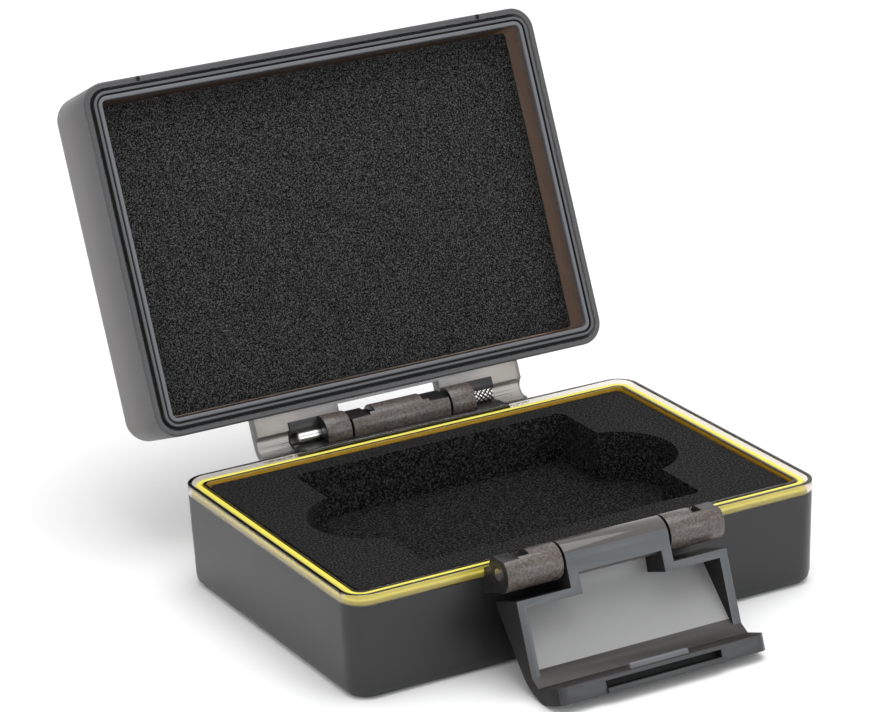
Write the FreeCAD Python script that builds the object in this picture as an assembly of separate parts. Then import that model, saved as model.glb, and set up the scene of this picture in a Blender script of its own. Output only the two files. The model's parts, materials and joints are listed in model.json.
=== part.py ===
import FreeCAD, Part
import math
import os

# A small hinged protective case, standing open on a flat surface.
# Frame: origin at the centre of the base's flat underside, +X along the long side,
# -Y towards the latch, +Y towards the hinge, +Z up. Millimetres and degrees.

# Driving dimensions of the two shells
case_length = 86.0
case_width = 60.2
corner_radius = 4.0
smallest_corner = 0.8
base_height = 17.7
lid_height = 15.6
rim_gap = 0.25          # between the two rims when the lid is shut
draft = 0.0237          # inward lean of the outer walls, per mm of height
edge_radius = 1.8       # rounding of the base's lower edge and the lid's upper edge
floor_thickness = 2.2
roof_thickness = 1.8

# Insets of the rim's features, measured inwards from the outer wall
outer_lip = 0.75
seal_groove_end = 2.5
wall = 3.1
seal_groove_depth = 2.0
inner_lip_drop = 0.35
lid_groove_start = 1.1
lid_tongue_start = 1.6
tongue_line_start = 2.2
tongue_line_end = 2.35
lid_groove_depth = 0.6
tongue_height = 0.45
tongue_line_depth = 0.3
mark_x = 32.5           # small notches in the lid's front rim
mark_width = 0.7
mark_depth = 0.4
mark_height = 1.2

# Seal
seal_clearance = 0.05
seal_foot_height = 0.8
seal_bead_start = 1.35
seal_bead_end = 2.35
seal_top_drop = 0.4
seal_rounding = 0.3

# Foam
foam_half_length = 39.4
foam_half_width = 26.5
foam_corner = 1.2
foam_top = base_height - 0.9
pocket_floor = 8.0
tape_thickness = 0.3
tape_inset = 1.5
pocket_half_length = 25.6
pocket_half_width = 22.0
pocket_centre_y = 0.7
pocket_corner = 1.4
notch_radius = 10.4
notch_centre_x = 22.9
pad_half_length = 39.5
pad_half_width = 26.5
pad_corner = 0.7
pad_recess = 4.4        # from the lid's rim down to the pad's face

# Pins and knuckles
knuckle_radius = 3.0
pin_radius = 1.0
bore_radius = 1.05
knurl_radius = 1.12
centre_knuckle_half = 9.3
side_knuckle_start = 9.75
side_knuckle_end = 19.6

# Hinge
hinge_y = 34.8
hinge_z = base_height + rim_gap
lid_open_angle = 112.5
leaf_half = 25.5
leaf_underside = 0.6    # above the hinge axis, lid shut
channel_radius = 1.7    # half-round way along which the pin is pushed in
half_shell_start = 14.3
hinge_raised_half = 4.6
hinge_shelf_rise = 2.1
hinge_slot_width = 1.1
hinge_slot_rise = 1.5
hinge_slot_reach = 1.6      # in front of the axis
bracket_top_drop = 0.8      # below the hinge axis
bracket_height = 4.4
cradle_radius = 3.3
stop_start = 14.55
stop_inner_radius = 1.35
stop_gap = 0.1
hinge_pin_end = 18.8
knurl_length = 3.8

# Latch. Its section is given as (y, z) from the pin's axis, upright, with y towards the case.
latch_y = -34.45
latch_z = 17.7
latch_rest_angle = 160.5    # swing from upright down to where its heel meets the table
latch_half = 19.0
latch_rim = 2.9             # y of the frame round the recess
shoulder = 4.4              # z above which the latch is at its full width
elbow = (-4.05, 5.0)
shin = (0.2, 16.2)
heel = (2.3, 18.8)
sole = (5.5, 20.6)
hook_face = 17.95           # z of the hook's inner face
hook_reach = 10.0
hook_root = 4.3
tip_radius = 2.0
latch_wall = 1.5
recess_end = (2.0, 15.45)
recess_bevel_end = 16.43
recess_floor = -2.75
stem_recess_half = 7.5
stem_recess_floor = -2.5
stem_recess_start = 2.3
recess_start = 5.7
nib_half = 5.25
nib_height = 0.85
nib_thickness = 0.8
nib_position = 8.3
nib_rounding = 0.3
finger_slot_half = 10.4
finger_slot_depth = 1.8
finger_slot_width = 1.15
finger_bar_thickness = 0.85
finger_bar_overhang = 0.5

# Knuckles on the base that carry the latch's pin
latch_raised_end = 14.75
latch_shelf_rise = 2.5
latch_slot_width = 2.1
latch_slot_rise = 1.5
latch_slot_reach = 1.2      # in front of the axis
latch_web_drop = 0.4        # top of the web below the axis
latch_web_height = 4.4
latch_pin_ends = (-19.7, 19.0)

# Catch on the lid's roof that the latch's nib snaps behind
catch_half = 12.0
catch_front = -27.3
catch_back = -25.2
catch_height = 0.9
catch_rounding = 0.35

root = 0.5              # how far an added feature is sunk into what it stands on
spare = 1.0             # how far a cutter runs past what it cuts

X_AXIS = FreeCAD.Vector(1, 0, 0)
lid_rim = base_height + rim_gap
lid_top = lid_rim + lid_height
around_knuckle = knuckle_radius + spare
bracket_root = case_width / 2 - 0.4     # brackets start inside the wall, short of the seal groove


def point(x, y, z):
    return FreeCAD.Vector(x, y, z)


def rounded_rectangle(half_x, half_y, radius, z, centre_y=0.0):
    """Closed wire of four sides and four corner arcs at height z."""
    corners = [(1, 1, 0), (-1, 1, 90), (-1, -1, 180), (1, -1, 270)]
    arcs = []
    for side_x, side_y, start in corners:
        centre_x = side_x * (half_x - radius)
        centre_v = centre_y + side_y * (half_y - radius)
        ends = []
        for turn in (0, 45, 90):
            angle = math.radians(start + turn)
            ends.append(point(centre_x + radius * math.cos(angle), centre_v + radius * math.sin(angle), z))
        arcs.append(Part.Arc(*ends))
    edges = []
    for index, arc in enumerate(arcs):
        following = arcs[(index + 1) % len(arcs)]
        edges.append(arc.toShape())
        edges.append(Part.LineSegment(arc.EndPoint, following.StartPoint).toShape())
    return Part.Wire(edges)


def plate(half_x, half_y, radius, z_low, z_high, centre_y=0.0):
    """Upright block with rounded corners."""
    outline = rounded_rectangle(half_x, half_y, radius, z_low, centre_y)
    return Part.Face(outline).extrude(point(0, 0, z_high - z_low))


def inset_outline(inset, lean, z):
    """The case's outline at height z, moved inwards by inset and by the lean of its walls."""
    radius = max(corner_radius - inset, smallest_corner)
    return rounded_rectangle(case_length / 2 - inset - lean, case_width / 2 - inset - lean, radius, z)


def base_block(inset, z_low, z_high):
    """Block with the base's tapered sides, inset from them."""
    outlines = [inset_outline(inset, (base_height - z) * draft, z) for z in (z_low, z_high)]
    return Part.makeLoft(outlines, True, True)


def lid_block(inset, z_low, z_high):
    """Block with the shut lid's tapered sides, inset from them."""
    outlines = [inset_outline(inset, (z - lid_rim) * draft, z) for z in (z_low, z_high)]
    return Part.makeLoft(outlines, True, True)


def round_level_edges(solid, z, radius):
    """Round every edge that lies at height z."""
    edges = [e for e in solid.Edges if abs(e.BoundBox.ZMin - z) < 0.001 and abs(e.BoundBox.ZMax - z) < 0.001]
    return solid.makeFillet(radius, edges)


def x_cylinder(radius, x_low, x_high, y, z):
    return Part.makeCylinder(radius, x_high - x_low, point(x_low, y, z), X_AXIS)


def x_prism(outline, x_low, x_high):
    """Prism along X over a closed (y, z) outline of straight sides."""
    points = [point(x_low, y, z) for y, z in outline]
    points.append(points[0])
    return Part.Face(Part.makePolygon(points)).extrude(point(x_high - x_low, 0, 0))


def box(x_low, x_high, y_low, y_high, z_low, z_high):
    return Part.makeBox(x_high - x_low, y_high - y_low, z_high - z_low, point(x_low, y_low, z_low))


def both_sides(x_low, x_high, build):
    """The same feature on the right and on the left of the case."""
    return [build(x_low, x_high), build(-x_high, -x_low)]


def open_lid(shape):
    """Turn a shape from where it is with the lid shut to where it is with the lid open."""
    shape.rotate(point(0, hinge_y, hinge_z), X_AXIS, -lid_open_angle)
    return shape


# ---------------------------------------------------------------- base

def opening_stop():
    """Wedge under the pin that the lid's half knuckles come to rest on when the lid is open."""
    angle = math.radians(-lid_open_angle)
    edge = []
    for radius in (knuckle_radius, stop_inner_radius):
        edge.append((hinge_y + radius * math.cos(angle) + stop_gap * math.sin(angle),
                     hinge_z + radius * math.sin(angle) - stop_gap * math.cos(angle)))
    top = hinge_z - bracket_top_drop
    outer, inner = edge
    return [(bracket_root, outer[1]), outer, inner, (hinge_y - stop_inner_radius, top), (bracket_root, top)]


def hinge_knuckle_of_base():
    """Central knuckle on a bracket that also cradles the lid's knuckles."""
    top = hinge_z - bracket_top_drop
    outline = [(bracket_root, top - bracket_height), (bracket_root, top), (hinge_y, top),
               (hinge_y, hinge_z - knuckle_radius)]
    knuckle = x_prism(outline, -side_knuckle_end, side_knuckle_end)
    for cradle in both_sides(centre_knuckle_half, side_knuckle_end + spare,
                             lambda low, high: x_cylinder(cradle_radius, low, high, hinge_y, hinge_z)):
        knuckle = knuckle.cut(cradle)
    barrel = x_cylinder(knuckle_radius, -centre_knuckle_half, centre_knuckle_half, hinge_y, hinge_z)
    knuckle = knuckle.fuse(barrel)
    stop = opening_stop()
    for wedge in both_sides(stop_start, side_knuckle_end, lambda low, high: x_prism(stop, low, high)):
        knuckle = knuckle.fuse(wedge)
    top = hinge_z + knuckle_radius
    front = hinge_y - knuckle_radius
    back = hinge_y + knuckle_radius
    slot_end = hinge_raised_half + hinge_slot_width
    cutters = both_sides(slot_end, centre_knuckle_half,
                         lambda low, high: box(low, high, front, back, hinge_z + hinge_shelf_rise, top))
    cutters += both_sides(hinge_raised_half, slot_end,
                          lambda low, high: box(low, high, hinge_y - hinge_slot_reach, back,
                                                hinge_z + hinge_slot_rise, top))
    for cutter in cutters:
        knuckle = knuckle.cut(cutter)
    return knuckle


def latch_knuckle_of_base(x_low, x_high):
    """One of the two front knuckles that carry the latch's pin, on its web."""
    top = latch_z - latch_web_drop
    outline = [(-bracket_root, top), (latch_y, top), (latch_y, latch_z - knuckle_radius),
               (-bracket_root, top - latch_web_height)]
    return x_prism(outline, x_low, x_high).fuse(x_cylinder(knuckle_radius, x_low, x_high, latch_y, latch_z))


def latch_knuckle_cutters(side):
    """Slot and lowered shelf on top of a front knuckle; side is 1 on the right, -1 on the left."""
    slot_end = latch_raised_end + latch_slot_width
    spans = [(latch_raised_end, slot_end, latch_slot_rise, latch_y - latch_slot_reach),
             (slot_end, side_knuckle_end + spare, latch_shelf_rise, latch_y - knuckle_radius)]
    back = latch_y + knuckle_radius + root
    cutters = []
    for near, far, rise, front in spans:
        low, high = sorted((side * near, side * far))
        cutters.append(box(low, high, front, back, latch_z + rise, latch_z + around_knuckle))
    return cutters


def base_tub():
    tub = round_level_edges(base_block(0.0, 0.0, base_height), 0.0, edge_radius)
    above = base_height + spare
    tub = tub.cut(base_block(wall, floor_thickness, above))
    groove_floor = base_height - seal_groove_depth
    groove = base_block(outer_lip, groove_floor, above)
    tub = tub.cut(groove.cut(base_block(seal_groove_end, groove_floor, above)))
    tub = tub.cut(base_block(seal_groove_end, base_height - inner_lip_drop, above))
    tub = tub.fuse(hinge_knuckle_of_base())
    for shape in both_sides(side_knuckle_start, side_knuckle_end, latch_knuckle_of_base):
        tub = tub.fuse(shape)
    for side in (1, -1):
        for cutter in latch_knuckle_cutters(side):
            tub = tub.cut(cutter)
    tub = tub.cut(x_cylinder(bore_radius, -case_length / 2, case_length / 2, hinge_y, hinge_z))
    tub = tub.cut(x_cylinder(bore_radius, -case_length / 2, case_length / 2, latch_y, latch_z))
    return tub.removeSplitter()


def rim_seal():
    """Ring with a wide foot that fills the groove and a narrower bead on top."""
    low = base_height - seal_groove_depth
    middle = low + seal_foot_height
    high = base_height - seal_top_drop
    foot = base_block(outer_lip + seal_clearance, low, middle)
    foot = foot.cut(base_block(seal_groove_end - seal_clearance, low, middle))
    bead = base_block(seal_bead_start, middle, high)
    bead = round_level_edges(bead, high, seal_rounding).cut(base_block(seal_bead_end, middle, high))
    return foot.fuse(bead).removeSplitter()


def pocket(z_low, z_high):
    """The cut-out: a rectangle with a round finger notch on each short side."""
    shape = plate(pocket_half_length, pocket_half_width, pocket_corner, z_low, z_high, pocket_centre_y)
    for side in (1, -1):
        centre = point(side * notch_centre_x, pocket_centre_y, z_low)
        shape = shape.fuse(Part.makeCylinder(notch_radius, z_high - z_low, centre))
    return shape.removeSplitter()


def base_foam_block():
    block = plate(foam_half_length, foam_half_width, foam_corner, pocket_floor, foam_top)
    return block.cut(pocket(pocket_floor - spare, foam_top + spare))


def base_foam_floor():
    low = floor_thickness + tape_thickness
    return plate(foam_half_length, foam_half_width, foam_corner, low, pocket_floor)


def base_foam_tape():
    low = floor_thickness
    return plate(foam_half_length - tape_inset, foam_half_width - tape_inset, foam_corner,
                 low, low + tape_thickness)


def latch_pin():
    return x_cylinder(pin_radius, latch_pin_ends[0], latch_pin_ends[1], latch_y, latch_z)


# ---------------------------------------------------------------- lid (built shut, then opened)

def hinge_leaf():
    """Plate behind the lid that ends in a half-round channel over the pin."""
    start = case_width / 2 - spare
    far = hinge_y + around_knuckle
    bottom = hinge_z - around_knuckle
    top = hinge_z + knuckle_radius
    flat = box(-leaf_half, leaf_half, start, hinge_y, hinge_z + leaf_underside, top)
    arch = x_cylinder(knuckle_radius, -leaf_half, leaf_half, hinge_y, hinge_z)
    below = box(-leaf_half, leaf_half, start, far, bottom, hinge_z)
    front = box(-leaf_half, leaf_half, start, hinge_y, bottom, hinge_z + leaf_underside)
    leaf = flat.fuse(arch.cut(below).cut(front))
    leaf = leaf.cut(x_cylinder(channel_radius, -leaf_half, leaf_half, hinge_y, hinge_z))
    window_start = case_width / 2 + root
    window = box(-side_knuckle_start, side_knuckle_start, window_start, far, bottom, top + spare)
    return leaf.cut(window)


def hinge_knuckle_of_lid(x_low, x_high):
    """A knuckle whose outer half is open on its underside."""
    barrel = x_cylinder(knuckle_radius, x_low, x_high, hinge_y, hinge_z)
    front = hinge_y - around_knuckle
    back = hinge_y + around_knuckle
    bottom = hinge_z - around_knuckle
    for opening in both_sides(half_shell_start, side_knuckle_end,
                              lambda low, high: box(low, high, front, back, bottom, hinge_z)):
        barrel = barrel.cut(opening)
    return barrel


def lid_rim_ring(start, end, z_low, z_high):
    return lid_block(start, z_low, z_high).cut(lid_block(end, z_low, z_high))


def lid_shell():
    shell = round_level_edges(lid_block(0.0, lid_rim, lid_top), lid_top, edge_radius)
    shell = shell.fuse(lid_block(lid_tongue_start, lid_rim - tongue_height, lid_rim + root))
    below = lid_rim - spare
    line_top = lid_rim - tongue_height + tongue_line_depth
    shell = shell.cut(lid_rim_ring(lid_groove_start, lid_tongue_start, below, lid_rim + lid_groove_depth))
    shell = shell.cut(lid_rim_ring(tongue_line_start, tongue_line_end, below, line_top))
    shell = shell.cut(lid_block(wall, below, lid_top - roof_thickness))
    catch = box(-catch_half, catch_half, catch_front, catch_back, lid_top - root, lid_top + catch_height)
    shell = shell.fuse(round_level_edges(catch, lid_top + catch_height, catch_rounding))
    shell = shell.fuse(hinge_leaf())
    for knuckle in both_sides(side_knuckle_start, side_knuckle_end, hinge_knuckle_of_lid):
        shell = shell.fuse(knuckle)
    shell = shell.cut(x_cylinder(bore_radius, -case_length / 2, case_length / 2, hinge_y, hinge_z))
    front = -case_width / 2
    for middle in (-mark_x, mark_x):
        shell = shell.cut(box(middle - mark_width / 2, middle + mark_width / 2,
                              front - spare, front + mark_depth, below, lid_rim + mark_height))
    return open_lid(shell.removeSplitter())


def lid_foam_pad():
    high = lid_top - roof_thickness - tape_thickness
    return open_lid(plate(pad_half_length, pad_half_width, pad_corner, lid_rim + pad_recess, high))


def lid_foam_tape():
    high = lid_top - roof_thickness
    return open_lid(plate(pad_half_length - tape_inset, pad_half_width - tape_inset, pad_corner,
                          high - tape_thickness, high))


def hinge_pin():
    """Steel pin, plain at its left end, with a knurled right end that grips the lid's knuckle."""
    knurl_start = hinge_pin_end - knurl_length
    plain = x_cylinder(pin_radius, -hinge_pin_end, knurl_start, hinge_y, hinge_z)
    return plain.fuse(x_cylinder(knurl_radius, knurl_start, hinge_pin_end, hinge_y, hinge_z)).removeSplitter()


# ---------------------------------------------------------------- latch (built upright about its pin)

def latch_outline():
    """Face over the whole section of the latch, with a curved heel."""
    at = [point(-latch_half, y, z) for y, z in (
        sole, (hook_reach, sole[1]), (hook_reach, hook_face), (hook_root, hook_face),
        (latch_rim, recess_bevel_end), (latch_rim, 0.0), (-knuckle_radius, 0.0), elbow, shin)]
    edges = [Part.LineSegment(start, end).toShape() for start, end in zip(at, at[1:])]
    edges.append(Part.Arc(at[-1], point(-latch_half, *heel), at[0]).toShape())
    return Part.Face(Part.Wire(edges))


def recess_cutters():
    """Hollow of the inner face: a wide part, and a narrower part that runs up the stem."""
    open_side = latch_rim + spare
    wide = [(recess_floor, recess_start), recess_end, (latch_rim, recess_bevel_end),
            (open_side, recess_bevel_end), (open_side, recess_start)]
    stem = [(stem_recess_floor, stem_recess_start), (recess_floor, recess_start), (open_side, recess_start),
            (open_side, stem_recess_start)]
    wide_half = latch_half - latch_wall
    return [x_prism(wide, -wide_half, wide_half), x_prism(stem, -stem_recess_half, stem_recess_half)]


def finger_grip():
    """Bar along the hook's tip, and the slot behind it that a fingernail goes in."""
    slot_top = sole[1] - finger_bar_thickness
    slot_bottom = slot_top - finger_slot_width
    far = hook_reach + finger_bar_overhang
    slot_back = hook_reach - finger_slot_depth
    bar = box(-finger_slot_half, finger_slot_half, hook_reach - root, far, slot_top, sole[1])
    slot = box(-finger_slot_half, finger_slot_half, slot_back, far, slot_bottom, slot_top)
    return bar, slot


def nib():
    """Ridge on the hook that drops behind the lid's catch."""
    low = hook_face - nib_height
    ridge = box(-nib_half, nib_half, nib_position, nib_position + nib_thickness, low, hook_face + root)
    return round_level_edges(ridge, low, nib_rounding)


def latch_lever():
    lever = latch_outline().extrude(point(2 * latch_half, 0, 0))
    front = elbow[0] - spare
    back = latch_rim + spare
    for gap in both_sides(centre_knuckle_half, latch_half,
                          lambda low, high: box(low, high, front, back, -knuckle_radius, shoulder)):
        lever = lever.cut(gap)
    lever = lever.makeFillet(tip_radius, [
        e for e in lever.Edges
        if e.BoundBox.YMin > hook_reach - 0.01 and e.BoundBox.ZLength > 1.0])
    for cutter in recess_cutters():
        lever = lever.cut(cutter)
    bar, slot = finger_grip()
    lever = lever.fuse(bar).cut(slot).fuse(nib())
    lever = lever.fuse(x_cylinder(knuckle_radius, -centre_knuckle_half, centre_knuckle_half, 0, 0))
    lever = lever.cut(x_cylinder(bore_radius, -latch_half, latch_half, 0, 0)).removeSplitter()
    lever.rotate(point(0, 0, 0), X_AXIS, latch_rest_angle)
    lever.translate(point(0, latch_y, latch_z))
    return lever


nodes = [base_tub, rim_seal, base_foam_block, base_foam_floor, base_foam_tape, latch_pin,
         lid_shell, lid_foam_pad, lid_foam_tape, hinge_pin, latch_lever]

os.makedirs("parts", exist_ok=True)
for build in nodes:
    solid = build()
    name = build.__name__
    print(name, solid.ShapeType, len(solid.Solids), solid.isValid(), round(solid.Volume, 1))
    solid.exportStep(os.path.join("parts", name + ".step"))
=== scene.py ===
import json
import math

import bmesh
import bpy
from mathutils import Matrix, Vector, noise


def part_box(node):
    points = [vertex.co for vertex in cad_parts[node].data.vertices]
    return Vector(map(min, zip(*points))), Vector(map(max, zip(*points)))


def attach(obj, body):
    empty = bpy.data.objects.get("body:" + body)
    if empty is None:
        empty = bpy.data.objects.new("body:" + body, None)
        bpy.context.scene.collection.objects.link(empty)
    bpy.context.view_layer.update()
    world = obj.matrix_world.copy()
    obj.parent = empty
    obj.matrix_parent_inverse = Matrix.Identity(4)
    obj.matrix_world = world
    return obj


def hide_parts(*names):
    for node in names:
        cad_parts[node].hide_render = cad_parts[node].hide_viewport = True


# A small hinged protective case of smoke-tinted plastic, standing open. Metres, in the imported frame.

MM = 0.001
WELD = 0.000002     # vertices closer than this are one

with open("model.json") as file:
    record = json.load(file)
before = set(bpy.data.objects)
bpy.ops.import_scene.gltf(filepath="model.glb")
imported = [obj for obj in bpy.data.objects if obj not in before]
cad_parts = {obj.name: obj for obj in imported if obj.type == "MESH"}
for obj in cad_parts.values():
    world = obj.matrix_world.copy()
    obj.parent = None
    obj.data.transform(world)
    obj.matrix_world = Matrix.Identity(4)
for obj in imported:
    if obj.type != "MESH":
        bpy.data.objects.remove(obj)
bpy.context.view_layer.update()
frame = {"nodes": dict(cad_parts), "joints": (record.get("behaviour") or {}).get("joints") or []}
nodes = frame["nodes"]
joints = {joint["name"]: joint for joint in frame["joints"]}
scene = bpy.context.scene


def add_object(name, data):
    obj = bpy.data.objects.new(name, data)
    scene.collection.objects.link(obj)
    return obj


# ---------------------------------------------------------------- camera

VIEW_YAW = 27.343
VIEW_PITCH = 20.451
VIEW_ROLL = -2.727
CAMERA_PLACE = Vector((-0.28037, -0.50244, 0.24509))
SENSOR_WIDTH = 36.0
LENS = 157.33
SHIFT_X = 0.0615
SHIFT_Y = 0.0625

camera_data = bpy.data.cameras.new("camera")
camera_data.sensor_width = SENSOR_WIDTH
camera_data.lens = LENS
camera_data.shift_x = SHIFT_X
camera_data.shift_y = SHIFT_Y
camera_data.clip_start = 0.01
camera_data.clip_end = 20.0
camera = add_object("camera", camera_data)
turn = (Matrix.Rotation(math.radians(-VIEW_YAW), 4, "Z")
        @ Matrix.Rotation(math.radians(90.0 - VIEW_PITCH), 4, "X")
        @ Matrix.Rotation(math.radians(VIEW_ROLL), 4, "Z"))
camera.matrix_world = Matrix.Translation(CAMERA_PLACE) @ turn
scene.camera = camera

# ---------------------------------------------------------------- studio

scene.view_settings.view_transform = "Standard"
scene.view_settings.look = "None"

world = bpy.data.worlds.new("studio")
world.use_nodes = True
backdrop = world.node_tree.nodes["Background"]
backdrop.inputs["Color"].default_value = (1.0, 1.0, 1.0, 1.0)
backdrop.inputs["Strength"].default_value = 0.95
scene.world = world


def add_softbox(name, place, target, size, power, colour=(1.0, 1.0, 1.0)):
    data = bpy.data.lights.new(name, "AREA")
    data.shape = "RECTANGLE"
    data.size, data.size_y = size
    data.energy = power
    data.color = colour
    light = add_object(name, data)
    light.location = place
    light.rotation_euler = (Vector(target) - Vector(place)).to_track_quat("-Z", "Y").to_euler()
    light.visible_camera = False


add_softbox("top_softbox", (0.1, -0.1, 0.9), (0, 0, 0.02), (0.8, 0.6), 4.0)
add_softbox("front_softbox", (0.32, -0.67, 0.22), (0, -0.02, 0.03), (0.24, 0.20), 0.6, (0.92, 0.97, 1.0))

# ---------------------------------------------------------------- materials


def new_material(name):
    material = bpy.data.materials.new(name)
    material.use_nodes = True
    tree = material.node_tree
    return material, tree, tree.nodes["Principled BSDF"]


def add_node(tree, kind, **values):
    node = tree.nodes.new(kind)
    for name, value in values.items():
        if name in node.inputs:
            node.inputs[name].default_value = value
        else:
            setattr(node, name, value)
    return node


def noise_height(tree, scale, detail=2.0, roughness=0.5):
    coordinates = add_node(tree, "ShaderNodeTexCoord")
    texture = add_node(tree, "ShaderNodeTexNoise", Scale=scale, Detail=detail, Roughness=roughness)
    tree.links.new(coordinates.outputs["Object"], texture.inputs["Vector"])
    return texture


def add_bump(tree, shader, height, distance, strength=1.0):
    bump = add_node(tree, "ShaderNodeBump", Distance=distance, Strength=strength)
    tree.links.new(height, bump.inputs["Height"])
    tree.links.new(bump.outputs["Normal"], shader.inputs["Normal"])


def add_ramp(tree, shader, factor, low, high):
    """Colour the shader by a factor; low and high are (position, colour)."""
    ramp = add_node(tree, "ShaderNodeValToRGB")
    for element, (position, colour) in zip(ramp.color_ramp.elements, (low, high)):
        element.position = position
        element.color = (*colour, 1.0)
    tree.links.new(factor, ramp.inputs["Fac"])
    tree.links.new(ramp.outputs["Color"], shader.inputs["Base Color"])


def smoke_plastic(name, base, absorption, density, roughness, transmission=1.0):
    """Tinted see-through plastic: clear where thin, dark where thick."""
    material, tree, shader = new_material(name)
    shader.inputs["Base Color"].default_value = (*base, 1.0)
    shader.inputs["Roughness"].default_value = roughness
    shader.inputs["IOR"].default_value = 1.5
    shader.inputs["Transmission Weight"].default_value = transmission
    grain = noise_height(tree, 2600.0, 3.0)
    add_bump(tree, shader, grain.outputs["Fac"], 0.00004, 0.5)
    volume = add_node(tree, "ShaderNodeVolumeAbsorption")
    volume.inputs["Color"].default_value = (*absorption, 1.0)
    volume.inputs["Density"].default_value = density
    tree.links.new(volume.outputs["Volume"], tree.nodes["Material Output"].inputs["Volume"])
    return material


def paint_middle_shade(material, middle, ends, middle_end, ends_start):
    """Blend the colour with the distance from the case's mid-plane, from middle to ends."""
    tree = material.node_tree
    coordinates = add_node(tree, "ShaderNodeTexCoord")
    split = add_node(tree, "ShaderNodeSeparateXYZ")
    tree.links.new(coordinates.outputs["Object"], split.inputs["Vector"])
    distance = add_node(tree, "ShaderNodeMath", operation="ABSOLUTE")
    tree.links.new(split.outputs["X"], distance.inputs[0])
    add_ramp(tree, tree.nodes["Principled BSDF"], distance.outputs["Value"],
             (middle_end, middle), (ends_start, ends))


def foam(name, dark, light, grain=3100.0):
    """Closed-cell foam: tiny pits with a few cell walls that catch the light."""
    material, tree, shader = new_material(name)
    shader.inputs["Roughness"].default_value = 0.85
    shader.inputs["Specular IOR Level"].default_value = 0.1
    coordinates = add_node(tree, "ShaderNodeTexCoord")
    cells = add_node(tree, "ShaderNodeTexVoronoi", Scale=3000.0)
    tree.links.new(coordinates.outputs["Object"], cells.inputs["Vector"])
    speckle = noise_height(tree, grain, 2.0, 0.7)
    add_ramp(tree, shader, speckle.outputs["Fac"], (0.46, dark), (0.70, light))
    add_bump(tree, shader, cells.outputs["Distance"], 0.00012, 0.6)
    return material


def mottled(name, dark, light, roughness):
    """Thick smoke-tinted plastic: opaque satin with a cloudy, finely grained tone."""
    material, tree, shader = new_material(name)
    shader.inputs["Roughness"].default_value = roughness
    clouds = noise_height(tree, 2400.0, 4.0, 0.75)
    add_ramp(tree, shader, clouds.outputs["Fac"], (0.35, dark), (0.68, light))
    add_bump(tree, shader, clouds.outputs["Fac"], 0.00008, 0.5)
    return material


def satin(name, colour, roughness):
    """Opaque satin plastic or rubber with a faint moulded grain."""
    material, tree, shader = new_material(name)
    shader.inputs["Base Color"].default_value = (*colour, 1.0)
    shader.inputs["Roughness"].default_value = roughness
    grain = noise_height(tree, 900.0)
    add_bump(tree, shader, grain.outputs["Fac"], 0.00003, 0.4)
    return material


def steel(name):
    material, tree, shader = new_material(name)
    shader.inputs["Base Color"].default_value = (0.70, 0.69, 0.67, 1.0)
    shader.inputs["Metallic"].default_value = 1.0
    shader.inputs["Roughness"].default_value = 0.22
    grain = noise_height(tree, 1500.0)
    add_bump(tree, shader, grain.outputs["Fac"], 0.00002, 0.3)
    return material


SMOKE = (0.50, 0.36, 0.22)
PALE_SMOKE = (0.50, 0.46, 0.40)
AMBER = (0.93, 0.55, 0.10)
CLEAR = (0.97, 0.96, 0.95)
shell_plastic = smoke_plastic("shell_plastic", (0.72, 0.72, 0.78), SMOKE, 1600.0, 0.34, 0.985)
lid_plastic = smoke_plastic("lid_plastic", (0.72, 0.72, 0.76), SMOKE, 850.0, 0.34, 0.96)
lip_plastic = smoke_plastic("lip_plastic", CLEAR, SMOKE, 300.0, 0.10)
inner_lip_plastic = smoke_plastic("inner_lip_plastic", CLEAR, AMBER, 900.0, 0.12)
leaf_plastic = smoke_plastic("leaf_plastic", (0.68, 0.66, 0.64), PALE_SMOKE, 500.0, 0.26, 0.88)
# Painted shade: the leaf is darker in its middle, behind the knuckles, than at its ends.
paint_middle_shade(leaf_plastic, (0.44, 0.44, 0.46), (0.68, 0.66, 0.64), 0.0150, 0.0185)
latch_plastic = smoke_plastic("latch_plastic", (0.30, 0.29, 0.29), SMOKE, 900.0, 0.16, 0.94)
knuckle_plastic = mottled("knuckle_plastic", (0.036, 0.030, 0.027), (0.145, 0.119, 0.105), 0.24)
barrel_plastic = satin("barrel_plastic", (0.072, 0.066, 0.062), 0.13)
bracket_plastic = satin("bracket_plastic", (0.012, 0.011, 0.011), 0.35)
foam_face = foam("foam_face", (0.002, 0.002, 0.002), (0.056, 0.056, 0.056))
foam_pad_face = foam("foam_pad_face", (0.002, 0.002, 0.002), (0.100, 0.100, 0.100), 4100.0)
# A darker copy of the foam, for the pocket's floor: painted shade for the depth of the pocket.
foam_painted_shade = foam("foam_painted_shade", (0.001, 0.001, 0.001), (0.045, 0.045, 0.045))
yellow_silicone = satin("yellow_silicone", (0.80, 0.72, 0.10), 0.42)
# Painted light: the latch's thin panel is light grey satin, for the light through it and on it.
latch_panel_painted_light = satin("latch_panel_painted_light", (0.27, 0.27, 0.27), 0.45)
# Painted light: lighter satin for the highlights on the latch's frame and the glow at the lid's ridge.
satin_edge_painted_light = satin("satin_edge_painted_light", (0.076, 0.082, 0.089), 0.40)
# Painted light: lighter satin for the glow along the lid's tongue and the highlight on the latch's nib.
satin_ridge_painted_light = satin("satin_ridge_painted_light", (0.12, 0.125, 0.135), 0.40)
# The lid's rim face: its own satin finish, made lighter as painted reflection.
satin_flange_painted_light = satin("satin_flange_painted_light", (0.060, 0.060, 0.064), 0.40)
satin_hook = satin("satin_hook", (0.026, 0.026, 0.028), 0.40)
strip_plastic = satin("strip_plastic", (0.016, 0.013, 0.012), 0.45)
groove_shade = satin("groove_shade", (0.003, 0.003, 0.003), 0.7)
pin_steel = steel("pin_steel")
tape_film = satin("tape_film", (0.035, 0.035, 0.035), 0.6)

# ---------------------------------------------------------------- pieces


def set_material(obj, material):
    obj.data.materials.clear()
    obj.data.materials.append(material)


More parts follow.
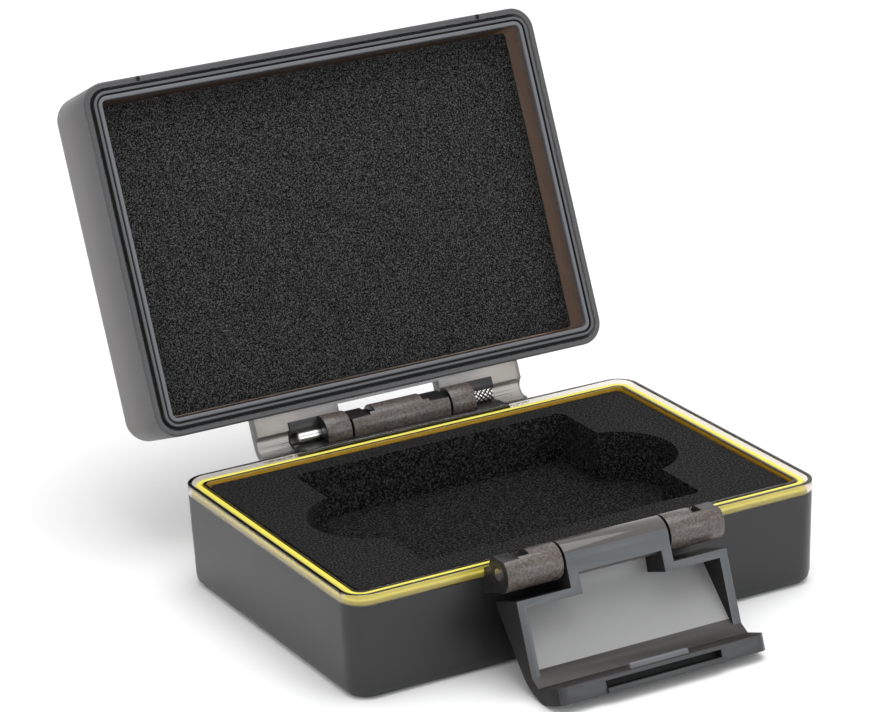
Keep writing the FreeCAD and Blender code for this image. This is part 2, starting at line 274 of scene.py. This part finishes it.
def apply_modifiers(obj):
    """Give obj the mesh that its modifiers make."""
    evaluated = obj.evaluated_get(bpy.context.evaluated_depsgraph_get())
    mesh = bpy.data.meshes.new_from_object(evaluated)
    mesh.name = obj.name
    obj.modifiers.clear()
    obj.data = mesh


def paint(obj, material, chosen, place=Matrix.Identity(4)):
    """Give another material to some faces, chosen by centre (mm) and normal after the move by place."""
    obj.data.materials.append(material)
    index = len(obj.data.materials) - 1
    turn = place.to_3x3()
    for polygon in obj.data.polygons:
        if chosen(place @ polygon.center / MM, turn @ polygon.normal):
            polygon.material_index = index


def shade(obj, sharp_angle=35.0):
    obj.data.shade_smooth()
    obj.data.set_sharp_from_angle(angle=math.radians(sharp_angle))


def softened(name, node, body, width, material):
    """A copy of a CAD node, welded into one closed mesh and with its sharp edges slightly rounded."""
    obj = add_object(name, nodes[node].data.copy())
    shape = bmesh.new()
    shape.from_mesh(obj.data)
    bmesh.ops.remove_doubles(shape, verts=shape.verts, dist=WELD)
    shape.to_mesh(obj.data)
    shape.free()
    bevel = obj.modifiers.new("bevel", "BEVEL")
    bevel.width = width
    bevel.segments = 2
    bevel.limit_method = "ANGLE"
    bevel.angle_limit = math.radians(32.0)
    bevel.use_clamp_overlap = True
    apply_modifiers(obj)
    shade(obj)
    set_material(obj, material)
    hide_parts(node)
    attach(obj, body)
    return obj


# Rim and walls, in millimetres: insets are measured inwards from the outer wall, as in the CAD model.
HALF_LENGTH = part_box("base_tub")[1].x / MM
HALF_WIDTH = 30.1
CORNER = 4.0
SMALLEST_CORNER = 0.6
DRAFT = 0.0237
BASE_TOP = 17.7
GROOVE_FLOOR = 15.7
INNER_LIP_TOP = 17.35
OUTER_LIP = 0.75
INNER_LIP_START = 2.5
WALL = 3.1
FLOOR = 2.2
EDGE_RADIUS = 1.8
INSIDE_RADIUS = 0.6
CAP_INSET = 9.0         # where a swept wall's section ends and a flat cap closes it

SEAL_FOOT_START = 0.80
SEAL_FOOT_END = 2.45
SEAL_FOOT_TOP = 16.5
BEAD_START = 1.35
BEAD_END = 2.35
BEAD_TOP = 17.3

LID_RIM = 17.95
LID_TOP = 33.55
ROOF = 31.75
LID_GROOVE_START = 1.1
LID_GROOVE_TOP = LID_RIM + 0.6
RIDGE_START = 1.6
RIDGE_END = 2.2
STEP_INSET = 2.4
STEP_TOP = LID_RIM + 0.45
TONGUE = LID_RIM - 0.45
TONGUE_INSET = 2.38
TONGUE_ROOT = LID_RIM + 0.5
SLANT = 0.05            # how far the small steps of a section lean

MARK_X = 32.5           # the two small notches in the lid's front rim
MARK_WIDTH = 0.7
MARK_DEPTH = 0.9
MARK_HEIGHT = 0.3

HINGE_AXIS = Vector(joints["lid_hinge"]["pos_m"])
LID_SWING = math.radians(joints["lid_hinge"]["range_deg"][1])
OPENING = (Matrix.Translation(HINGE_AXIS)
           @ Matrix.Rotation(-LID_SWING, 4, "X")
           @ Matrix.Translation(-HINGE_AXIS))
CLOSING = OPENING.inverted()

LARGEST_SHARE = 0.48    # of a side that the rounding of one corner may take


def rounded_profile(corners, steps=3):
    """Points along a polyline of (inset, height, radius), each with the number of the corner it rounds."""
    points = []
    for index, (x, z, radius) in enumerate(corners):
        corner = Vector((x, z))
        if radius == 0.0:
            points.append((corner, index))
            continue
        before = Vector(corners[index - 1][:2]) - corner
        after = Vector(corners[(index + 1) % len(corners)][:2]) - corner
        half_angle = before.angle(after) / 2.0
        reach = min(radius / math.tan(half_angle),
                    before.length * LARGEST_SHARE, after.length * LARGEST_SHARE)
        start = corner + before.normalized() * reach
        end = corner + after.normalized() * reach
        for step in range(steps + 1):
            t = step / steps
            points.append((start * (1 - t) ** 2 + corner * 2 * t * (1 - t) + end * t ** 2, index))
    return points


def rim_outline(inset, z, corner_steps=10):
    """Points round the case at one inset and height. The walls lean in, away from the rim."""
    total = inset + abs(BASE_TOP - z) * DRAFT
    radius = max(CORNER - inset, SMALLEST_CORNER)
    outline = []
    for side_x, side_y, start in ((1, 1, 0), (-1, 1, 90), (-1, -1, 180), (1, -1, 270)):
        centre_x = side_x * (HALF_LENGTH - total - radius)
        centre_y = side_y * (HALF_WIDTH - total - radius)
        for step in range(corner_steps + 1):
            angle = math.radians(start + 90.0 * step / corner_steps)
            x = centre_x + radius * math.cos(angle)
            y = centre_y + radius * math.sin(angle)
            outline.append(Vector((x, y, z)) * MM)
    return outline


def new_piece(name, shape, body, material, sharp_angle=40.0):
    """Turn a bmesh into a finished piece. Its faces keep their material numbers, and material is number 0."""
    bmesh.ops.recalc_face_normals(shape, faces=shape.faces)
    mesh = bpy.data.meshes.new(name)
    shape.to_mesh(mesh)
    shape.free()
    obj = add_object(name, mesh)
    shade(obj, sharp_angle)
    mesh.materials.append(material)
    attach(obj, body)
    return obj


def rim_piece(name, body, corners, closed, material, bands=()):
    """A piece swept round the case from a section; an open section gets a flat cap at each end.

    bands lists (material, numbers of the section's corners where its faces start).
    """
    shape = bmesh.new()
    rings = []
    for (x, z), corner in rounded_profile(corners):
        rings.append(([shape.verts.new(place) for place in rim_outline(x, z)], corner))
    pairs = list(zip(rings, rings[1:]))
    if closed:
        pairs.append((rings[-1], rings[0]))
    for (ring, corner), (following, _) in pairs:
        slots = [number for number, (_, starts) in enumerate(bands, 1) if corner in starts]
        for index in range(len(ring)):
            after = (index + 1) % len(ring)
            face = shape.faces.new((ring[index], ring[after], following[after], following[index]))
            face.material_index = slots[0] if slots else 0
    if not closed:
        shape.faces.new(rings[0][0])
        shape.faces.new(rings[-1][0])
    if body == "lid":
        shape.transform(OPENING)
    obj = new_piece(name, shape, body, material)
    for other, _ in bands:
        obj.data.materials.append(other)
    return obj


def cut_box(obj, place, centre, size, material):
    """Cut a box, in millimetres and moved by place, out of a closed piece; material covers the cut faces."""
    shape = bmesh.new()
    scaled = Matrix.Translation(Vector(centre) * MM) @ Matrix.Diagonal((*(Vector(size) * MM), 1.0))
    bmesh.ops.create_cube(shape, size=1.0, matrix=place @ scaled)
    mesh = bpy.data.meshes.new("cutter")
    mesh.materials.append(material)
    shape.to_mesh(mesh)
    shape.free()
    cutter = add_object("cutter", mesh)
    boolean = obj.modifiers.new("boolean", "BOOLEAN")
    boolean.object = cutter
    boolean.solver = "EXACT"
    boolean.material_mode = "TRANSFER"
    apply_modifiers(obj)
    bpy.data.objects.remove(cutter)


# Each section is a list of (inset, height, radius of the corner).
tub_body = rim_piece("tub_body", "base", [
    (CAP_INSET, 0.0, 0.0),
    (0.0, 0.0, EDGE_RADIUS),
    (0.0, GROOVE_FLOOR, 0.03),
    (WALL, GROOVE_FLOOR, 0.03),
    (WALL, FLOOR, INSIDE_RADIUS),
    (CAP_INSET, FLOOR, 0.0)], False, shell_plastic)
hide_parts("base_tub")
rim_piece("tub_outer_lip", "base", [
    (0.0, GROOVE_FLOOR, 0.02),
    (0.0, BASE_TOP, 0.22),
    (OUTER_LIP, BASE_TOP, 0.22),
    (OUTER_LIP, GROOVE_FLOOR, 0.02)], True, lip_plastic)
rim_piece("tub_inner_lip", "base", [
    (INNER_LIP_START, GROOVE_FLOOR, 0.02),
    (INNER_LIP_START, INNER_LIP_TOP, 0.15),
    (WALL, INNER_LIP_TOP, 0.15),
    (WALL, GROOVE_FLOOR, 0.02)], True, inner_lip_plastic)
seal = rim_piece("seal", "base", [
    (SEAL_FOOT_START, GROOVE_FLOOR, 0.1),
    (SEAL_FOOT_START, SEAL_FOOT_TOP, 0.2),
    (BEAD_START - SLANT, SEAL_FOOT_TOP + SLANT, 0.1),
    (BEAD_START, BEAD_TOP, 0.45),
    (BEAD_END, BEAD_TOP, 0.45),
    (BEAD_END + SLANT, SEAL_FOOT_TOP + SLANT, 0.05),
    (SEAL_FOOT_END, SEAL_FOOT_TOP, 0.05),
    (SEAL_FOOT_END, GROOVE_FLOOR, 0.1)], True, yellow_silicone)
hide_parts("rim_seal")

FLANGE_FACES = (2,)
GROOVE_FACES = (4, 5, 7, 8)
RIDGE_FACES = (6,)
# The rim face and the ridge get lighter satin: painted light for the glow at the plastic's edges, over the
# rim face's own satin finish.
lid_body = rim_piece("lid_body", "lid", [
    (CAP_INSET, LID_TOP, 0.0),
    (0.0, LID_TOP, EDGE_RADIUS),
    (0.0, LID_RIM, 0.35),
    (LID_GROOVE_START, LID_RIM, 0.15),
    (LID_GROOVE_START + SLANT, LID_GROOVE_TOP, 0.05),
    (RIDGE_START - SLANT, LID_GROOVE_TOP, 0.05),
    (RIDGE_START, TONGUE, 0.15),
    (RIDGE_END - SLANT, TONGUE, 0.12),
    (RIDGE_END, LID_RIM, 0.02),
    (STEP_INSET, LID_RIM, 0.02),
    (STEP_INSET, STEP_TOP, 0.02),
    (WALL, STEP_TOP, 0.02),
    (WALL, ROOF, INSIDE_RADIUS),
    (CAP_INSET, ROOF, 0.0)], False, lid_plastic,
    bands=((satin_flange_painted_light, FLANGE_FACES), (groove_shade, GROOVE_FACES), (satin_edge_painted_light, RIDGE_FACES)))
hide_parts("lid_shell")
for middle in (-MARK_X, MARK_X):
    cut_box(lid_body, OPENING, (middle, -HALF_WIDTH, LID_RIM),
            (MARK_WIDTH, 2.0 * MARK_DEPTH, 2.0 * MARK_HEIGHT), groove_shade)
shade(lid_body, 40.0)
# The tongue's ridge is lighter satin: painted light, as on the lid's other ridge.
rim_piece("lid_tongue", "lid", [
    (TONGUE_INSET, TONGUE_ROOT, 0.02),
    (TONGUE_INSET, TONGUE, 0.25),
    (WALL, TONGUE, 0.25),
    (WALL, TONGUE_ROOT, 0.02)], True, satin_ridge_painted_light)

ROOT = 0.4              # how far the parts outside a wall reach into it


def cut_away(obj, place, direction):
    """Keep the part of obj beyond a plane, close it, and push the closing faces into the wall behind."""
    shape = bmesh.new()
    shape.from_mesh(obj.data)
    geometry = shape.verts[:] + shape.edges[:] + shape.faces[:]
    bmesh.ops.bisect_plane(shape, geom=geometry, plane_co=place, plane_no=direction, clear_inner=True)
    rim = [edge for edge in shape.edges if edge.is_boundary]
    bmesh.ops.triangle_fill(shape, use_beauty=True, use_dissolve=False, edges=rim)
    for vertex in {vertex for edge in rim for vertex in edge.verts}:
        vertex.co -= direction * ROOT * MM
    bmesh.ops.recalc_face_normals(shape, faces=shape.faces)
    shape.to_mesh(obj.data)
    shape.free()


# The parts outside the walls are copies of the CAD's shells, cut just outside the walls that they stand on.
CLEARANCE = 0.03
BACK = Vector((0, 1, 0))
FRONT = Vector((0, -1, 0))
UP = Vector((0, 0, 1))
WALL_FACE = (HALF_WIDTH + CLEARANCE) * MM
ROOF_FACE = (LID_TOP + CLEARANCE) * MM
OPENING_TURN = OPENING.to_3x3()
hinge_bracket = softened("tub_hinge_bracket", "base_tub", "base", 0.15 * MM, bracket_plastic)
cut_away(hinge_bracket, BACK * WALL_FACE, BACK)
latch_brackets = softened("tub_latch_knuckles", "base_tub", "base", 0.2 * MM, bracket_plastic)
cut_away(latch_brackets, FRONT * WALL_FACE, FRONT)
hinge_leaf = softened("lid_hinge_leaf", "lid_shell", "lid", 0.15 * MM, leaf_plastic)
cut_away(hinge_leaf, OPENING @ (BACK * WALL_FACE), OPENING_TURN @ BACK)
catch = softened("lid_catch", "lid_shell", "lid", 0.15 * MM, satin_hook)
cut_away(catch, OPENING @ (UP * ROOF_FACE), OPENING_TURN @ UP)
latch = softened("latch", "latch_lever", "latch", 0.2 * MM, latch_plastic)
for node, material in (("latch_pin", pin_steel), ("base_foam_tape", tape_film), ("lid_foam_tape", tape_film)):
    set_material(nodes[node], material)

# The thick knuckles look opaque and cloudy outside, and dark at their ends and in their bores.
KNUCKLE_RADIUS = 3.0
KNUCKLE_END = 19.7
LATCH_AXIS = Vector(joints["latch_hinge"]["pos_m"])


def off_axis(centre, axis):
    """The way from an axis along x to a face's centre, in millimetres."""
    return Vector((0, centre.y - axis.y / MM, centre.z - axis.z / MM))


def on_knuckle(axis):
    """A test for the faces on the outside of the knuckles round an axis."""
    def chosen(centre, normal):
        away = off_axis(centre, axis)
        outside = abs(away.length - KNUCKLE_RADIUS) < 0.15 and away.dot(normal) > KNUCKLE_RADIUS / 2.0
        return outside and abs(centre.x) < KNUCKLE_END
    return chosen


def in_knuckle(axis):
    """A test for all faces of the knuckles round an axis: outside, ends and bore."""
    def chosen(centre, normal):
        return abs(centre.x) < KNUCKLE_END and off_axis(centre, axis).length < KNUCKLE_RADIUS + 0.1
    return chosen


paint(hinge_bracket, knuckle_plastic, on_knuckle(HINGE_AXIS))
paint(latch_brackets, knuckle_plastic, on_knuckle(LATCH_AXIS))
paint(hinge_leaf, bracket_plastic, in_knuckle(HINGE_AXIS), CLOSING)
paint(hinge_leaf, knuckle_plastic, on_knuckle(HINGE_AXIS), CLOSING)
paint(latch, barrel_plastic, on_knuckle(LATCH_AXIS))

# The latch's faces by place, with the latch turned upright about its pin: x along the pin, y towards
# the case and z down the latch, in millimetres.
LATCH_LEAN = 5.0
FRAME = 2.9
FRAME_END = 16.5
RECESS_START = 2.4
RECESS_END = 15.4
RECESS_RIM = 2.0
STRIP_START = 15.5
HOOK = 17.95
HOOK_REACH = 10.0
NIB_START = 8.0
SLOT_HALF = 10.5
SLOT_END = 19.9
upright = (Matrix.Rotation(math.radians(joints["latch_hinge"]["range_deg"][0] + LATCH_LEAN), 4, "X")
           @ Matrix.Translation(-LATCH_AXIS))


def on_side(at, normal):
    return abs(normal.x) > 0.7


def on_strip(at, normal):
    return normal.z < -0.3 and at.z > STRIP_START


def on_hook(at, normal):
    return at.y > HOOK_REACH - 0.3 and at.z > HOOK


def on_frame(at, normal):
    return normal.y > 0.95 and at.y > FRAME - 0.1 and at.z < FRAME_END


def on_panel(at, normal):
    return normal.y > 0.8 and RECESS_START < at.z < RECESS_END and at.y < RECESS_RIM


def on_nib(at, normal):
    return at.z < HOOK - 0.05 and at.y > NIB_START


def in_slot(at, normal):
    deep = NIB_START < at.y < HOOK_REACH - 0.05
    return deep and HOOK + 0.3 < at.z < SLOT_END and abs(at.x) < SLOT_HALF


# The frame, the panel and the nib get lighter satin: painted highlights, and painted light through the thin
# panel.
for material, chosen in ((groove_shade, on_side), (strip_plastic, on_strip), (satin_hook, on_hook),
                         (satin_edge_painted_light, on_frame), (latch_panel_painted_light, on_panel), (satin_ridge_painted_light, on_nib),
                         (groove_shade, in_slot)):
    paint(latch, material, chosen, upright)

# ---------------------------------------------------------------- hinge pin

PIN_BEVEL = 0.2 * MM
KNURL_DEPTH = 0.06 * MM     # how far the knurl's grooves go below the plain pin
KNURL_CREST = 1.2           # above 1, the ridges have flat tops
POINTS_PER_RIDGE = 6
KNURL_ROWS = 48


def turned_pin(name, node, body, plain_radius, knurl_radius, knurl_length, knurl_count):
    """A steel pin with bevelled ends and, at its right end, a crossed knurl."""
    low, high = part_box(node)
    axis = (low + high) / 2.0
    knurl_start = high.x - knurl_length
    knurl_span = knurl_length - PIN_BEVEL
    around = knurl_count * POINTS_PER_RIDGE

    def knurled(x, angle):
        twist = (x - knurl_start) / plain_radius
        ridge = min(abs(math.sin(knurl_count * (angle + twist) / 2.0)),
                    abs(math.sin(knurl_count * (angle - twist) / 2.0)))
        lowest = plain_radius - KNURL_DEPTH
        return lowest + (knurl_radius - lowest) * min(1.0, ridge * KNURL_CREST)

    stations = [(low.x, plain_radius - PIN_BEVEL), (low.x + PIN_BEVEL, plain_radius),
                (knurl_start - PIN_BEVEL, plain_radius), (knurl_start, plain_radius)]
    for row in range(KNURL_ROWS + 1):
        stations.append((knurl_start + knurl_span * row / KNURL_ROWS, None))
    stations.append((high.x, plain_radius - PIN_BEVEL))
    shape = bmesh.new()
    rings = []
    for x, radius in stations:
        ring = []
        for step in range(around):
            angle = 2.0 * math.pi * step / around
            size = knurled(x, angle) if radius is None else radius
            place = (x, axis.y + size * math.cos(angle), axis.z + size * math.sin(angle))
            ring.append(shape.verts.new(place))
        rings.append(ring)
    for ring, following in zip(rings, rings[1:]):
        for step in range(around):
            after = (step + 1) % around
            shape.faces.new((ring[step], ring[after], following[after], following[step]))
    shape.faces.new(rings[0])
    shape.faces.new(rings[-1])
    pin = new_piece(name, shape, body, pin_steel, 30.0)
    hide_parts(node)
    groove_radius = (plain_radius + knurl_radius) / 2.0 / MM

    def in_groove(centre, normal):
        on_knurl = centre.x > knurl_start / MM and abs(normal.x) < 0.9
        return on_knurl and off_axis(centre, axis).length < groove_radius
    paint(pin, groove_shade, in_groove)


turned_pin("hinge_pin_turned", "hinge_pin", "lid", 1.0 * MM, 1.12 * MM, 3.8 * MM, 7)

# ---------------------------------------------------------------- foam

LAYER_SCALE = Vector((0.5, 0.5, 2.2))   # the cut faces' unevenness lies in flat layers
PORE_SCALE = 2.5
PORE_HEIGHT = 0.03


def foam_piece(name, node, body, detail, seed, unevenness, material):
    """A foam part: a finely remeshed copy of its CAD solid with a slightly uneven surface."""
    obj = add_object(name, nodes[node].data.copy())
    if body == "lid":
        obj.data.transform(CLOSING)
    weld = obj.modifiers.new("weld", "WELD")
    weld.merge_threshold = WELD
    remesh = obj.modifiers.new("remesh", "REMESH")
    remesh.mode = "SHARP"
    remesh.octree_depth = detail
    remesh.use_remove_disconnected = False
    apply_modifiers(obj)
    offset = Vector((seed, seed * 0.7, -seed))
    moved = []
    for vertex in obj.data.vertices:
        place = vertex.co / MM
        steep = 1.0 - abs(vertex.normal.z)
        layers = unevenness * steep * noise.noise(place * LAYER_SCALE + offset)
        pores = PORE_HEIGHT * noise.noise(place * PORE_SCALE + offset)
        moved.append(vertex.co + vertex.normal * (layers + pores - PORE_HEIGHT) * MM)
    for vertex, place in zip(obj.data.vertices, moved):
        vertex.co = place
    if body == "lid":
        obj.data.transform(OPENING)
    shade(obj, 50.0)
    set_material(obj, material)
    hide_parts(node)
    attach(obj, body)


foam_piece("foam_block", "base_foam_block", "base", 8, 3.0, 0.10, foam_face)
# The pocket's floor gets the darker foam: painted shade.
foam_piece("foam_floor", "base_foam_floor", "base", 7, 7.0, 0.05, foam_painted_shade)
foam_piece("foam_pad", "lid_foam_pad", "lid", 7, 11.0, 0.03, foam_pad_face)

# ---------------------------------------------------------------- floor

FLOOR_HALF = 4.0
FLOOR_DROP = 0.0001     # keeps the floor clear of the case's underside
CORNERS = ((-1, -1), (1, -1), (1, 1), (-1, 1))
floor_mesh = bpy.data.meshes.new("floor")
floor_mesh.from_pydata([(x * FLOOR_HALF, y * FLOOR_HALF, -FLOOR_DROP) for x, y in CORNERS], [],
                       [range(len(CORNERS))])
floor = add_object("floor", floor_mesh)
floor_material, floor_tree, floor_shader = new_material("floor_paper")
floor_shader.inputs["Base Color"].default_value = (0.95, 0.95, 0.95, 1.0)
floor_shader.inputs["Roughness"].default_value = 0.9
set_material(floor, floor_material)
